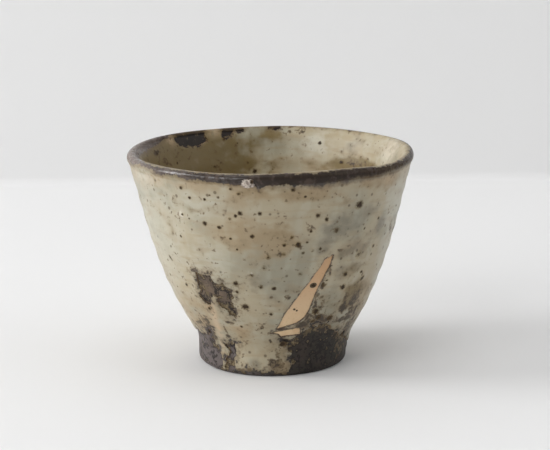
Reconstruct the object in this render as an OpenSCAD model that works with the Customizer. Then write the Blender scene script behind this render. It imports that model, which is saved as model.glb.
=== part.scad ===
// Yunomi tea cup: a thrown clay bowl luted to a turned foot ring, under coats of slip and ash glaze.
// The origin is the middle of the foot on the table. The front of the cup faces -Y.

/* [Bowl] */
// Height of the cup from the table to the top of the lip
cup_h = 69.5; // [62:0.5:84]
// Outside diameter of the cup at the lip
mouth_d = 92; // [86:0.5:102]
// Thickness of the rounded lip
lip_t = 3.5; // [2.8:0.1:4.4]
// Thickness of the clay wall low in the bowl
wall_t = 4; // [3.2:0.1:5]
// Thickness of the clay floor under the middle of the well
floor_t = 5.5; // [4.5:0.1:8]
// Lean of the wall from upright where it leaves the foot, in degrees
waist_lean = 34; // [28:1:38]
// How far the wall keeps its waist lean
waist_pull = 27; // [20:0.5:32]
// Lean of the wall from upright at the flared lip, in degrees
lip_lean = 28; // [14:1:32]
// How far the wall keeps its lip lean
lip_pull = 8.5; // [6:0.5:12]
// How far the inner wall keeps its lean before it turns into the well
well_turn = 9; // [6:0.5:12]
// Radius of the flat middle of the well
well_flat = 15; // [10:0.5:18]

/* [Foot ring] */
// Height of the foot from the table to the crease under the bowl
foot_h = 10; // [8:0.5:13]
// Diameter of the foot above its rounded bottom edge
foot_d = 48; // [45:0.5:52]
// Diameter of the clay at the crease between foot and bowl
crease_d = 49; // [48:0.2:54]
// Depth of the hollow under the foot
recess_h = 5; // [3:0.5:6.5]
// Diameter of the hollow under the foot
recess_d = 36; // [32:0.5:38]
// Width of the ledge in the ring that carries the spigot of the bowl
ledge_w = 2; // [1:0.25:3]
// Rounding of the outer bottom edge of the foot
foot_round = 1.4; // [0.8:0.1:2]
// Rounding of the inner bottom edge of the foot
recess_round = 0.8; // [0.4:0.1:1.2]
// Radial gap of the luted joint between spigot and ring
luting_gap = 0.05; // [0:0.01:0.2]

/* [Coats] */
// Thickness of the slip
slip_t = 0.2; // [0.15:0.05:0.4]
// Thickness of the glaze
glaze_t = 0.4; // [0.3:0.05:0.7]
// Thickness of the dark glaze over the lip
band_t = 0.25; // [0.15:0.05:0.4]
// Height of the dark lip band on the outside
band_h = 3.5; // [2.8:0.1:5]
// Height above the crease at which the coats end over the bare stretches of the foot
bare_rise = 0.5; // [0.3:0.1:2]

/* [Bare gap in the glaze] */
// Turn of the gap from the front of the cup, in degrees
gap_az = 14; // [5:1:20]
// Height of the lower corner of the gap above the crease
gap_low = 5; // [4:0.5:9]
// Height of the gap from its lower corner to its tip
gap_h = 26; // [16:0.5:32]
// Width of the gap at its foot
gap_w = 8.5; // [5:0.5:10]
// Sideways run of the gap from its lower corner to its tip
gap_run = 18; // [10:0.5:22]

/* [Crawled patches] */
// Turn of the patch on the left of the front, in degrees
left_patch_az = -32; // [-40:1:-28]
// Width of the left patch
left_patch_w = 14; // [8:0.5:18]
// Height of the left patch
left_patch_h = 15; // [8:0.5:20]
// Height of the lower edge of the left patch above the crease
left_patch_low = 11; // [6:0.5:18]
// Turn of the patch on the right of the front, in degrees
right_patch_az = 41; // [40:1:50]
// Width of the right patch
right_patch_w = 19; // [12:0.5:22]
// Height of the right patch above the crease
right_patch_h = 10; // [5:0.5:13]
// Depth of the patches inside the lip
lip_patch_h = 3; // [2:0.25:5]
// Width of the largest patch inside the lip
lip_patch_w = 11; // [6:0.5:16]

/* [Iron spots] */
// Diameter of the largest iron spot
spot_d = 2; // [1.2:0.1:2.6]

/* [Feldspar grain] */
// Diameter of the grain
grain_d = 3; // [1.2:0.1:3.4]
// How far the grain stands out of the glaze
grain_proud = 0.3; // [0.1:0.05:0.5]
// Turn of the grain from the front of the cup, in degrees
grain_az = -8.5; // [-20:0.5:0]

/* [Hidden] */
$fn = 120;

clay_colour = [0.24, 0.19, 0.17];
slip_colour = [0.80, 0.66, 0.50];
glaze_colour = [0.67, 0.64, 0.54];
band_colour = [0.27, 0.21, 0.21];
iron_colour = [0.17, 0.13, 0.10];
grain_colour = [0.86, 0.80, 0.77];

// Segments along each stretch of the section
wall_steps = 18;
band_steps = 2;
lip_steps = 10;
well_steps = 10;
edge_steps = 5;

// Both coats together on the wall
coat_t = slip_t + glaze_t;

// Bare stretches of the foot between the tongues of slip and glaze: turn of one edge and width, in degrees
bare_foot = [[14, 60], [100, 38], [200, 46], [270, 59]];

// Iron spots: turn from the front in degrees, height as a share of the glazed wall, share of spot_d
outside_spots = [
    [39, 0.84, 1], [29, 0.70, 0.9], [19.5, 0.81, 0.6], [-12.5, 0.83, 0.65], [-4.5, 0.83, 0.6],
    [-29, 0.76, 0.65], [-22, 0.74, 0.6], [-8, 0.70, 0.55], [11, 0.65, 0.75], [39, 0.36, 0.8],
    [52.5, 0.38, 0.75], [44.5, 0.53, 0.65], [-14, 0.28, 0.85], [1, 0.39, 0.55], [-57, 0.51, 0.6],
    [78, 0.62, 0.75], [104, 0.35, 0.9], [127, 0.74, 0.65], [151, 0.55, 0.8], [176, 0.30, 0.7],
    [203, 0.80, 0.75], [229, 0.48, 0.95], [255, 0.66, 0.6], [281, 0.33, 0.75]
];
// Iron spots inside: turn from the front in degrees, depth as a share of the hollow, share of spot_d
inside_spots = [
    [160, 0.09, 0.6], [142, 0.18, 0.8], [-170, 0.25, 0.65], [-118, 0.15, 0.7], [96, 0.30, 0.75],
    [20, 0.20, 0.65], [-35, 0.36, 0.8], [68, 0.13, 0.6]
];
// Bare patches inside the lip: turn from the front in degrees and share of lip_patch_w
lip_patches = [[-140, 1], [-164, 0.65], [178, 0.35]];

// Section of the wall: a curve from the crease to the lip, with a round bead on top
lip_c = [mouth_d / 2 - lip_t / 2, cup_h - lip_t / 2];
lip_r = lip_t / 2 - band_t;
crease = [crease_d / 2, foot_h];
wall_top = lip_c + lip_r * [cos(lip_lean), -sin(lip_lean)];
wall_curve = [
    crease,
    crease + waist_pull * lean_way(waist_lean),
    wall_top - lip_pull * lean_way(lip_lean),
    wall_top
];
band_low = cup_h - band_h;
band_from = share_at(band_low);
well_z = recess_h + floor_t;
well_from = 0.22;
well_start = inner_point(well_from);
well_curve = [
    well_start,
    well_start - well_turn * way(wall_curve, well_from),
    [well_flat, well_z],
    [0, well_z]
];
spigot_r = recess_d / 2 + ledge_w;

foot_face = [[foot_d / 2, foot_round]];
glazed_wall = [for (i = [0:wall_steps]) along(wall_curve, band_from * i / wall_steps)];
banded_wall = [for (i = [1:band_steps]) along(wall_curve, band_from + (1 - band_from) * i / band_steps)];
lip_bead = [for (i = [1:lip_steps]) lip_c + lip_r * around(180 * i / lip_steps - lip_lean)];
inner_wall = [for (i = [1:wall_steps]) inner_point(1 - (1 - well_from) * i / wall_steps)];
well = [for (i = [1:well_steps]) along(well_curve, i / well_steps)];

// The clay surface as one line, from the foot over the lip to the middle of the well
skin = concat(foot_face, glazed_wall, banded_wall, lip_bead, inner_wall, well);
at_foot = 0;
at_crease = 1;
at_band = at_crease + wall_steps;
at_inside = at_band + band_steps + lip_steps;
at_well = len(skin) - 1;

function around(a) = [cos(a), sin(a)];
function lean_way(a) = [sin(a), cos(a)];
function unit(v) = v / norm(v);
function outward(v) = [v[1], -v[0]];
function along(p, t) =
    pow(1 - t, 3) * p[0] + 3 * pow(1 - t, 2) * t * p[1] + 3 * (1 - t) * t * t * p[2] + pow(t, 3) * p[3];
function way(p, t) =
    unit(pow(1 - t, 2) * (p[1] - p[0]) + 2 * (1 - t) * t * (p[2] - p[1]) + t * t * (p[3] - p[2]));

// Share of the wall curve at a height, by halving
function share_at(z, low = 0, high = 1, rounds = 24) =
    let (mid = (low + high) / 2)
    rounds == 0 ? mid
    : along(wall_curve, mid)[1] < z ? share_at(z, mid, high, rounds - 1)
    : share_at(z, low, mid, rounds - 1);

// The wall thins from wall_t low in the bowl to the lip
function clay_t(t) = wall_t + (2 * lip_r - wall_t) * pow(t, 3);
function inner_point(t) = along(wall_curve, t) - clay_t(t) * outward(way(wall_curve, t));

function skin_normal(i) =
    i == at_well ? [0, 1] : outward(unit(skin[min(i + 1, at_well)] - skin[max(i - 1, 0)]));
function over_skin(i, t) = skin[i] + t * skin_normal(i);

// Section of a coat between two places on the skin and two depths above it
function coat(first, last, low, high) = concat(
    [for (i = [first:last]) over_skin(i, low)],
    [for (i = [last:-1:first]) over_skin(i, high)]
);

module turned(outline) {
    rotate_extrude() polygon(outline);
}

// A prism that runs from the axis out through the wall, with its outline seen from outside
module through_wall(turn, outline) {
    rotate([0, 0, turn])
        rotate([90, 0, 0])
            linear_extrude(mouth_d)
                polygon(outline);
}

module pin_through_wall(turn, z, d) {
    rotate([0, 0, turn])
        translate([0, 0, z])
            rotate([90, 0, 0])
                cylinder(d = d, h = mouth_d);
}

module outside_pins() {
    for (s = outside_spots)
        pin_through_wall(s[0], foot_h + s[1] * (band_low - foot_h), s[2] * spot_d);
}

module inside_pins() {
    for (s = inside_spots)
        pin_through_wall(s[0], cup_h - s[1] * (cup_h - well_z), s[2] * spot_d);
}

// The blade-shaped gap where the glaze left the slip bare
module bare_gap() {
    blade = [
        [0, 0], [0.9 * gap_run, 0.95 * gap_h], [gap_run, gap_h], [0.7 * gap_run, 0.57 * gap_h],
        [gap_w, 0.16 * gap_h], [gap_w, -0.04 * gap_h], [0.1 * gap_w, -0.04 * gap_h]
    ];
    corner = [-0.4 * gap_run, foot_h + gap_low];
    through_wall(gap_az, [for (p = blade) p + corner]);
}

// The patches where slip and glaze crawled away from the dark clay
module crawled_patches() {
    left = [
        [-0.5, 0.2], [-0.36, 0.85], [-0.1, 1], [0.36, 0.93], [0.5, 0.65], [0.45, 0.05], [-0.15, 0],
        [-0.2, 0.27]
    ];
    right = [[-0.5, 0], [-0.42, 0.45], [-0.2, 0.95], [0, 0.8], [0.2, 0.6], [0.5, 0.3], [0.5, 0]];
    left_low = foot_h + left_patch_low;
    right_low = foot_h + bare_rise / 2;
    through_wall(left_patch_az, [for (p = left) [p[0] * left_patch_w, left_low + p[1] * left_patch_h]]);
    through_wall(right_patch_az, [for (p = right) [p[0] * right_patch_w, right_low + p[1] * right_patch_h]]);
}

module patches_inside_lip() {
    for (p = lip_patches) {
        half = p[1] * lip_patch_w / 2;
        low = cup_h - lip_t / 2 - lip_patch_h;
        through_wall(p[0], [[-half, cup_h], [-0.7 * half, low], [0.8 * half, low + 0.2 * lip_patch_h],
            [half, cup_h]]);
    }
}

// A coat on the outer wall and in tongues down the foot
module outside_coat(low, high) {
    difference() {
        turned(coat(at_foot, at_band, low, high));
        for (b = bare_foot)
            rotate([0, 0, b[0] - 90])
                rotate_extrude(angle = b[1])
                    square([mouth_d / 2, foot_h + bare_rise]);
    }
}

module feldspar_ball() {
    t = share_at(band_low);
    middle = along(wall_curve, t) + (coat_t + grain_proud - grain_d / 2) * outward(way(wall_curve, t));
    rotate([0, 0, grain_az])
        translate([0, -middle[0], middle[1]])
            sphere(d = grain_d);
}

module thrown_bowl() {
    color(clay_colour)
        difference() {
            turned(concat(
                [for (i = [at_crease:at_well]) skin[i]],
                [[0, recess_h], [spigot_r, recess_h], [spigot_r, foot_h]]
            ));
            feldspar_ball();
        }
}

module foot_ring() {
    joint_r = spigot_r + luting_gap;
    outer_edge = [for (i = [0:edge_steps])
        [foot_d / 2 - foot_round, foot_round] + foot_round * around(90 * i / edge_steps - 90)];
    inner_edge = [for (i = [0:edge_steps])
        [recess_d / 2 + recess_round, recess_round] + recess_round * around(180 + 90 * i / edge_steps)];
    color(clay_colour)
        turned(concat(
            outer_edge,
            [crease, [joint_r, foot_h], [joint_r, recess_h], [recess_d / 2, recess_h]],
            inner_edge
        ));
}

module outer_slip() {
    color(slip_colour)
        difference() {
            outside_coat(0, slip_t);
            crawled_patches();
            outside_pins();
            feldspar_ball();
        }
}

module outer_glaze() {
    color(glaze_colour)
        difference() {
            outside_coat(slip_t, coat_t);
            bare_gap();
            crawled_patches();
            outside_pins();
            feldspar_ball();
        }
}

module inner_slip() {
    color(slip_colour)
        difference() {
            turned(coat(at_inside, at_well, 0, slip_t));
            patches_inside_lip();
            inside_pins();
        }
}

module inner_glaze() {
    color(glaze_colour)
        difference() {
            turned(coat(at_inside, at_well, slip_t, coat_t));
            patches_inside_lip();
            inside_pins();
        }
}

module lip_band() {
    color(band_colour)
        difference() {
            turned(coat(at_band, at_inside, 0, band_t));
            feldspar_ball();
        }
}

module iron_spots_outside() {
    color(iron_colour)
        intersection() {
            turned(coat(at_crease, at_band, 0, coat_t));
            outside_pins();
        }
}

module iron_spots_inside() {
    color(iron_colour)
        intersection() {
            turned(coat(at_inside, at_well, 0, coat_t));
            inside_pins();
        }
}

module feldspar_grain() {
    color(grain_colour) feldspar_ball();
}

thrown_bowl();
foot_ring();
outer_slip();
inner_slip();
outer_glaze();
inner_glaze();
lip_band();
iron_spots_outside();
iron_spots_inside();
feldspar_grain();
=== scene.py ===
# %% [markdown]
# # A yunomi, from the clay outwards
# A yunomi is a Japanese tea cup without a handle. This one is dark, iron-bearing clay under a coat of
# peach slip and a coat of grey-green ash glaze, with a bare foot and a purple-brown lip. The imported cup
# holds the size of every layer, which is an estimate. Here each layer is modelled again with the detail
# that a portrait needs: the shells are spun, cut open where the glaze crawled, made a little uneven and
# given the finishes that firing leaves.

# %% Open the imported cup
import math

import bpy
import numpy as np
from mathutils import Matrix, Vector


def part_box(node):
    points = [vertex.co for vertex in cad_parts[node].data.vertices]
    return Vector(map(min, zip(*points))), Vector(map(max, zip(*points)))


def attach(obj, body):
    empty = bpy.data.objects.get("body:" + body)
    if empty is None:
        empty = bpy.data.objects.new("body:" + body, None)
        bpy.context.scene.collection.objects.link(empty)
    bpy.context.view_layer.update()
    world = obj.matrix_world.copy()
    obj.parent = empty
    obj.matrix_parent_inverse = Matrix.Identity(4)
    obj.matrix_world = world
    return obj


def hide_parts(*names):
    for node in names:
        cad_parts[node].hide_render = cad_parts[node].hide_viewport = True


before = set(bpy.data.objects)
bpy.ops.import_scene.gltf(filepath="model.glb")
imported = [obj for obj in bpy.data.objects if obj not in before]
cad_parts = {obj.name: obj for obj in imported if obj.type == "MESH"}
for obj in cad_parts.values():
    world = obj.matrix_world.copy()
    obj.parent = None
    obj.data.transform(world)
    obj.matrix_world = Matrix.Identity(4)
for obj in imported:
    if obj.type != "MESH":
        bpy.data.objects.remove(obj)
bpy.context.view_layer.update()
mm = 0.001

# %% [markdown]
# ## Where the camera stands
# The portrait is taken from 0.6 m away with a long lens, looking slightly down, so that the mouth shows
# as a flat ellipse. The place and the lens come from a fit to a picture 550 pixels wide, so the lens is
# given in pixels and is turned into millimetres here. The small turn about the view axis is a camera that
# wasn't quite level.

# %% Camera
picture_w, lens_px, sensor_mm = 550, 1890.8, 36
camera_at = (0.00117, -0.600, 0.17044)
camera_tilt, camera_roll = math.radians(78.11), math.radians(-0.709)
bpy.ops.object.camera_add()
camera = bpy.context.object
camera.data.sensor_width = sensor_mm
camera.data.lens = sensor_mm * lens_px / picture_w
camera.matrix_world = (
    Matrix.Translation(camera_at)
    @ Matrix.Rotation(camera_tilt, 4, "X")
    @ Matrix.Rotation(camera_roll, 4, "Z")
)
bpy.context.scene.camera = camera
print("camera lens:", round(camera.data.lens, 1), "mm")

# %% [markdown]
# ## Helpers for node trees
# Every finish below is a node tree. A tree reads more easily when a line of code is one thought, so these
# helpers add a node, fill its sockets by name and hand back the socket that the next thought needs. A
# value that is itself a socket is linked, and anything else is written on the socket.

# %% Colours and sockets
def srgb(r, g, b):
    """A colour as a paint chart gives it, 0 to 255, as the linear colour that nodes use."""
    linear = [c / 255 / 12.92 if c < 10.3 else ((c / 255 + 0.055) / 1.055) ** 2.4 for c in (r, g, b)]
    return (*linear, 1.0)


def feed(tree, socket, value):
    if isinstance(value, bpy.types.NodeSocket):
        tree.links.new(value, socket)
    else:
        socket.default_value = value


def add(tree, kind, **values):
    made = tree.nodes.new("ShaderNode" + kind)
    for name, value in values.items():
        feed(tree, made.inputs[name.replace("_", " ")], value)
    return made


def painted(tree, name):
    """A number that is painted on the points of a piece."""
    made = tree.nodes.new("ShaderNodeAttribute")
    made.attribute_name = name
    return made.outputs["Fac"]


def grouped(tree, group):
    made = tree.nodes.new("ShaderNodeGroup")
    made.node_tree = group
    return made.outputs


def new_material(name):
    made = bpy.data.materials.new(name)
    made.use_nodes = True
    return made, made.node_tree, made.node_tree.nodes["Principled BSDF"]

# %% Patterns and mixes
def place_on_piece(tree, stretch=(1, 1, 1)):
    """Object coordinates in metres. A stretch below 1 draws a pattern out along that axis."""
    where = add(tree, "TexCoord").outputs["Object"]
    return where if stretch == (1, 1, 1) else add(tree, "Mapping", Vector=where, Scale=stretch).outputs[0]


def axes(tree):
    """X, Y and Z of a place on the piece, each as a socket of its own."""
    return add(tree, "SeparateXYZ", Vector=place_on_piece(tree)).outputs


def noise(tree, grain, detail=2.0, stretch=(1, 1, 1)):
    """Cloudy values around a half, with features of about grain metres."""
    where = place_on_piece(tree, stretch)
    return add(tree, "TexNoise", Vector=where, Scale=1 / grain, Detail=detail).outputs["Fac"]


def band(tree, value, low, high):
    """0 at low and 1 at high, with a soft step between. Low may be the larger of the two."""
    made = add(tree, "MapRange", Value=value, From_Min=low, From_Max=high)
    made.interpolation_type = "SMOOTHSTEP"
    return made.outputs[0]


def maths(tree, sign, a, b=0.0, c=0.0):
    made = tree.nodes.new("ShaderNodeMath")
    made.operation = sign
    for socket, value in zip(made.inputs, (a, b, c)):
        feed(tree, socket, value)
    return made.outputs[0]


def product(tree, first, *others):
    for other in others:
        first = maths(tree, "MULTIPLY", first, other)
    return first


def shaken(tree, value, *patterns):
    """The value pushed up and down by patterns around a half, each given with its reach."""
    for pattern, reach in patterns:
        value = maths(tree, "MULTIPLY_ADD", maths(tree, "SUBTRACT", pattern, 0.5), reach, value)
    return value


def blend(tree, share, a, b):
    """Colour a, going over to colour b as share goes from 0 to 1."""
    made = tree.nodes.new("ShaderNodeMix")
    made.data_type = "RGBA"
    for socket, value in zip((made.inputs[0], made.inputs[6], made.inputs[7]), (share, a, b)):
        feed(tree, socket, value)
    return made.outputs[2]


def tinted(tree, colour, tint, *shares):
    """The colour, going over to the tint where the product of the shares is high."""
    return blend(tree, product(tree, *shares), colour, tint)

# %% [markdown]
# ## The table and the wall behind it
# The cup stands on a white table in front of a pale wall. One plane does for both: its far edge is pulled
# up, and the fold is beveled round so that the two meet in a soft line. The sheet is seen from its front
# only, so that a camera behind the wall or under the table still sees the cup.

# %% Table and wall
def pick(piece, test):
    """Opens a piece in edit mode with only the points selected that pass the test."""
    bpy.ops.object.mode_set(mode="EDIT")
    bpy.ops.mesh.select_all(action="DESELECT")
    bpy.ops.object.mode_set(mode="OBJECT")
    for vertex in piece.data.vertices:
        vertex.select = test(vertex.co)
    bpy.ops.object.mode_set(mode="EDIT")


table_front, table_back, table_w, wall_h = -3.0, 0.31, 6.0, 2.5
fold_r, fold_steps = 0.004, 16
bpy.ops.object.select_all(action="DESELECT")
bpy.ops.mesh.primitive_plane_add(size=1)
table = bpy.context.object
table.name = "table_and_wall"
bpy.ops.object.mode_set(mode="EDIT")
bpy.ops.transform.resize(value=(table_w, table_back - table_front, 1))
bpy.ops.transform.translate(value=(0, (table_front + table_back) / 2, 0))
pick(table, lambda co: co.y > 0)
bpy.ops.mesh.extrude_region_move(TRANSFORM_OT_translate={"value": (0, 0, wall_h)})
pick(table, lambda co: co.y > 0 and co.z < wall_h / 2)
bpy.ops.mesh.bevel(offset=fold_r, segments=fold_steps, affect="EDGES")
bpy.ops.object.mode_set(mode="OBJECT")
bpy.ops.object.shade_smooth()
print("table and wall:", len(table.data.polygons), "faces, with wall normals along",
      [round(n, 1) for n in max(table.data.polygons, key=lambda face: face.center.z).normal])

# %% Matte white paper
paper, tree, shader = new_material("matte_white_paper")
upright = band(tree, axes(tree)["Z"], 0.0, fold_r)
feed(tree, shader.inputs["Base Color"], blend(tree, upright, srgb(230, 230, 230), srgb(241, 241, 241)))
shader.inputs["Roughness"].default_value = 0.9
shader.inputs["Specular IOR Level"].default_value = 0.1
see_through = add(tree, "MixShader", Fac=add(tree, "NewGeometry").outputs["Backfacing"])
tree.links.new(shader.outputs[0], see_through.inputs[1])
tree.links.new(add(tree, "BsdfTransparent").outputs[0], see_through.inputs[2])
tree.links.new(see_through.outputs[0], tree.nodes["Material Output"].inputs["Surface"])
table.data.materials.append(paper)
print("paper:", len(tree.nodes), "nodes")

# %% [markdown]
# ## Window light
# A large window on the left does most of the work, a second one further to the front softens it, the
# ceiling fills from above and a white wall on the right gives a little light back. Four large area lamps
# far from the cup stand for them: far lamps light the table evenly, and large ones make the soft short
# shadow.

# %% Lamps and room
# Place, width in metres and power in watts.
lamps = {
    "window": ((-2.3, 0.2, 1.2), 1.6, 68.0),
    "front_window": ((-1.6, -1.6, 1.2), 1.6, 26.0),
    "ceiling": ((0, -0.1, 2.4), 2.0, 18.0),
    "white_wall": ((1.4, -0.2, 1.0), 1.8, 9.0),
}
for name, (place, wide, watts) in lamps.items():
    bpy.ops.object.light_add(type="AREA", location=place)
    lamp = bpy.context.object
    lamp.name = lamp.data.name = name
    lamp.data.shape = "SQUARE"
    lamp.data.size = wide
    lamp.data.energy = watts
    lamp.rotation_mode = "QUATERNION"
    lamp.rotation_quaternion = lamp.location.to_track_quat("Z", "Y")

room = bpy.data.worlds.new("studio")
bpy.context.scene.world = room
room.use_nodes = True
tree = room.node_tree
seen = add(tree, "LightPath").outputs["Is Camera Ray"]
room_colour = blend(tree, seen, srgb(70, 70, 70), srgb(226, 226, 226))
feed(tree, tree.nodes["Background"].inputs["Color"], room_colour)
bpy.context.scene.view_settings.view_transform = "Standard"
print(len(lamps), "lamps,", sum(watts for _, _, watts in lamps.values()), "W")

# %% [markdown]
# ## The section of the cup
# A thrown cup is a section turned about its axis. The clay surface is one line: up the foot, along a
# curve from the crease to the lip, over a round bead, down the inside and round into the well. The coats
# are strips that lie on this line, so it is sampled finely once, and each strip is the line pushed out
# along its normals.

# %% Sizes that shape the section
cup_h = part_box("lip_band")[1].z
mouth_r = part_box("lip_band")[1].x
foot_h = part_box("foot_ring")[1].z
foot_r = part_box("foot_ring")[1].x - 0.5 * mm
lip_t, wall_t, floor_t = 3.5 * mm, 4 * mm, 5.5 * mm
waist_lean, waist_pull, lip_lean, lip_pull = math.radians(34), 27 * mm, math.radians(28), 8.5 * mm
well_turn, well_flat, well_from = 9 * mm, 15 * mm, 0.22
crease_r, recess_h, recess_r, ledge_w = 24.5 * mm, 5 * mm, 18 * mm, 2 * mm
foot_round, recess_round, luting_gap = 1.4 * mm, 0.8 * mm, 0.05 * mm
slip_t, glaze_t, band_t, band_h = 0.2 * mm, 0.4 * mm, 0.25 * mm, 3.5 * mm
coat_t = slip_t + glaze_t
print("mouth", round(2 * mouth_r / mm, 1), "mm, height", round(cup_h / mm, 1), "mm")

# %% The wall as a curve
def lean_way(angle):
    return np.array([math.sin(angle), math.cos(angle)])


def along(curve, share):
    """Points at the shares of a curve with four handles, as rows of radius and height."""
    share = np.atleast_1d(share)[:, None]
    rest = 1 - share
    start, start_pull, end_pull, end = curve
    first_half = rest**3 * start + 3 * rest**2 * share * start_pull
    return first_half + 3 * rest * share**2 * end_pull + share**3 * end


def outward(line):
    """Unit normals of a line, to the right of the way it runs."""
    run = np.gradient(line, axis=0)
    run /= np.linalg.norm(run, axis=1)[:, None]
    return np.column_stack([run[:, 1], -run[:, 0]])


lip_c = np.array([mouth_r - lip_t / 2, cup_h - lip_t / 2])
bead_r = lip_t / 2 - band_t
crease = np.array([crease_r, foot_h])
wall_top = lip_c + bead_r * np.array([math.cos(lip_lean), -math.sin(lip_lean)])
wall_curve = np.array([
    crease, crease + waist_pull * lean_way(waist_lean), wall_top - lip_pull * lean_way(lip_lean), wall_top
])
shares = np.linspace(0, 1, 600)
band_from = np.interp(cup_h - band_h, along(wall_curve, shares)[:, 1], shares)
print("the wall runs from", crease / mm, "to", np.round(wall_top / mm, 1), "mm")

# %% The whole clay surface as one line
clay_t = wall_t + (2 * bead_r - wall_t) * shares**3
inside = along(wall_curve, shares) - clay_t[:, None] * outward(along(wall_curve, shares))


def inner_wall(share):
    return np.column_stack([np.interp(share, shares, inside[:, 0]), np.interp(share, shares, inside[:, 1])])


well_z = recess_h + floor_t
well_start, below = inner_wall([well_from, well_from - 0.01])
well_way = (below - well_start) / np.linalg.norm(below - well_start)
well_curve = np.array([well_start, well_start + well_turn * well_way, [well_flat, well_z], [0, well_z]])

foot_rows, wall_rows, band_rows, bead_rows, inner_rows, well_rows = 20, 130, 8, 18, 90, 50
bead_turn = np.linspace(0, math.pi, bead_rows + 1)[1:] - lip_lean
skin = np.vstack([
    np.linspace([foot_r, foot_round], crease, foot_rows + 1)[:-1],
    along(wall_curve, np.linspace(0, band_from, wall_rows + 1)),
    along(wall_curve, np.linspace(band_from, 1, band_rows + 1)[1:]),
    lip_c + bead_r * np.column_stack([np.cos(bead_turn), np.sin(bead_turn)]),
    inner_wall(np.linspace(1, well_from, inner_rows + 1)[1:]),
    along(well_curve, np.linspace(0, 1, well_rows + 1)[1:]),
])
at_foot, at_crease = 0, foot_rows
at_band = at_crease + wall_rows
at_inside = at_band + band_rows + bead_rows
at_well = len(skin) - 1
at_crest = int(np.argmax(skin[:, 1]))
print(f"the crease is at row {at_crease}, the band at {at_band} and the inside starts at {at_inside}")

# %% Soften the crease
# A finger has run round the crease between foot and bowl, so its rows are averaged with their neighbours.
finger_first, finger_end, finger_passes = 9, 36, 40
for _ in range(finger_passes):
    before, here, after = (skin[finger_first + step:finger_end + step] for step in (-1, 0, 1))
    skin[finger_first:finger_end] = (before + 2 * here + after) / 4
skin_out = outward(skin)
skin_run = np.concatenate([[0], np.cumsum(np.linalg.norm(np.diff(skin, axis=0), axis=1))])
print("the clay line has", len(skin), "rows and is", round(skin_run[-1] / mm), "mm long")

# %% [markdown]
# ## Turning a section
# A lathe piece starts as a circle primitive whose points are moved on to the section. Spin in edit mode
# could carry it round the axis, but over hundreds of steps the Screw modifier does the same much faster.
# Its last row lies on its first, so doubles are merged. Points on the axis collapse into a pole, the
# loose edges that leaves are deleted, and only then are the normals made to point outwards.

# %% Lathe
turns, weld = 360, 1e-6


def face_outwards():
    """Makes all normals of the active piece point outwards, and leaves it in object mode."""
    bpy.ops.object.mode_set(mode="EDIT")
    bpy.ops.mesh.select_all(action="SELECT")
    bpy.ops.mesh.normals_make_consistent(inside=False)
    bpy.ops.object.mode_set(mode="OBJECT")


def lathe(name, section):
    bpy.ops.object.select_all(action="DESELECT")
    bpy.ops.mesh.primitive_circle_add(vertices=len(section), fill_type="NOTHING")
    piece = bpy.context.object
    piece.name = piece.data.name = name
    for vertex, (r, z) in zip(piece.data.vertices, section):
        vertex.co = (0, -r, z)
    wheel = piece.modifiers.new("wheel", "SCREW")
    wheel.steps = wheel.render_steps = turns
    wheel.use_merge_vertices = True
    wheel.merge_threshold = weld
    bpy.ops.object.modifier_apply(modifier=wheel.name)
    bpy.ops.object.mode_set(mode="EDIT")
    bpy.ops.mesh.select_all(action="SELECT")
    bpy.ops.mesh.remove_doubles(threshold=weld)
    bpy.ops.mesh.delete_loose()
    face_outwards()
    print(name, "turned:", len(piece.data.polygons), "faces")
    return piece

# %% [markdown]
# ## The thrown bowl
# The bowl is the body of dark clay. Most of it is hidden by its coats, but it shows where they crawled
# away and in the hollow under the foot, so its outside is fine and its inside is coarse. It sits in the
# foot ring with a short spigot. A block could be cut hollow with Booleans, but a turned section gives the
# wall, the floor and the spigot in one go.

# %% Bowl of clay
spigot_r = recess_r + ledge_w
coarse_step, under_rows = 4, 25
inner_skin = np.vstack([skin[at_inside:at_well:coarse_step], skin[at_well]])
under_bowl = np.column_stack([np.linspace(0, spigot_r, under_rows), np.full(under_rows, recess_h)])
bowl = lathe("thrown_bowl_clay", np.vstack([
    skin[at_crease:at_inside], inner_skin, under_bowl, [[spigot_r, foot_h]],
]))

# %% [markdown]
# ## The foot ring
# The ring is turned with a rounded edge inside and out, so that it doesn't scratch the table, and it
# carries the spigot on a ledge. It could be a beveled torus, but its own section gives the ledge and both
# roundings at once.

# %% Foot ring of clay
def quarter(centre, radius, start, steps=8):
    turn = np.radians(np.linspace(start, start + 90, steps + 1))
    return np.array(centre) + radius * np.column_stack([np.cos(turn), np.sin(turn)])


joint_r = spigot_r + luting_gap
ring = lathe("foot_ring_clay", np.vstack([
    quarter((foot_r - foot_round, foot_round), foot_round, -90)[:-1],
    skin[at_foot:at_crease + 1],
    [[joint_r, foot_h], [joint_r, recess_h], [recess_r, recess_h]],
    quarter((recess_r + recess_round, recess_round), recess_round, 180),
]))

# %% [markdown]
# ## Where the coats crawled away
# Glaze that shrinks in the fire pulls back from greasy or dusty places. On this cup it left a
# blade-shaped gap over the slip, a mottled patch on the left, and bare stretches of the foot, where the
# slip went with it. Each place is drawn as an outline of turns and heights on the wall, as if the wall
# were unrolled, and its edge is made ragged.

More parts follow.
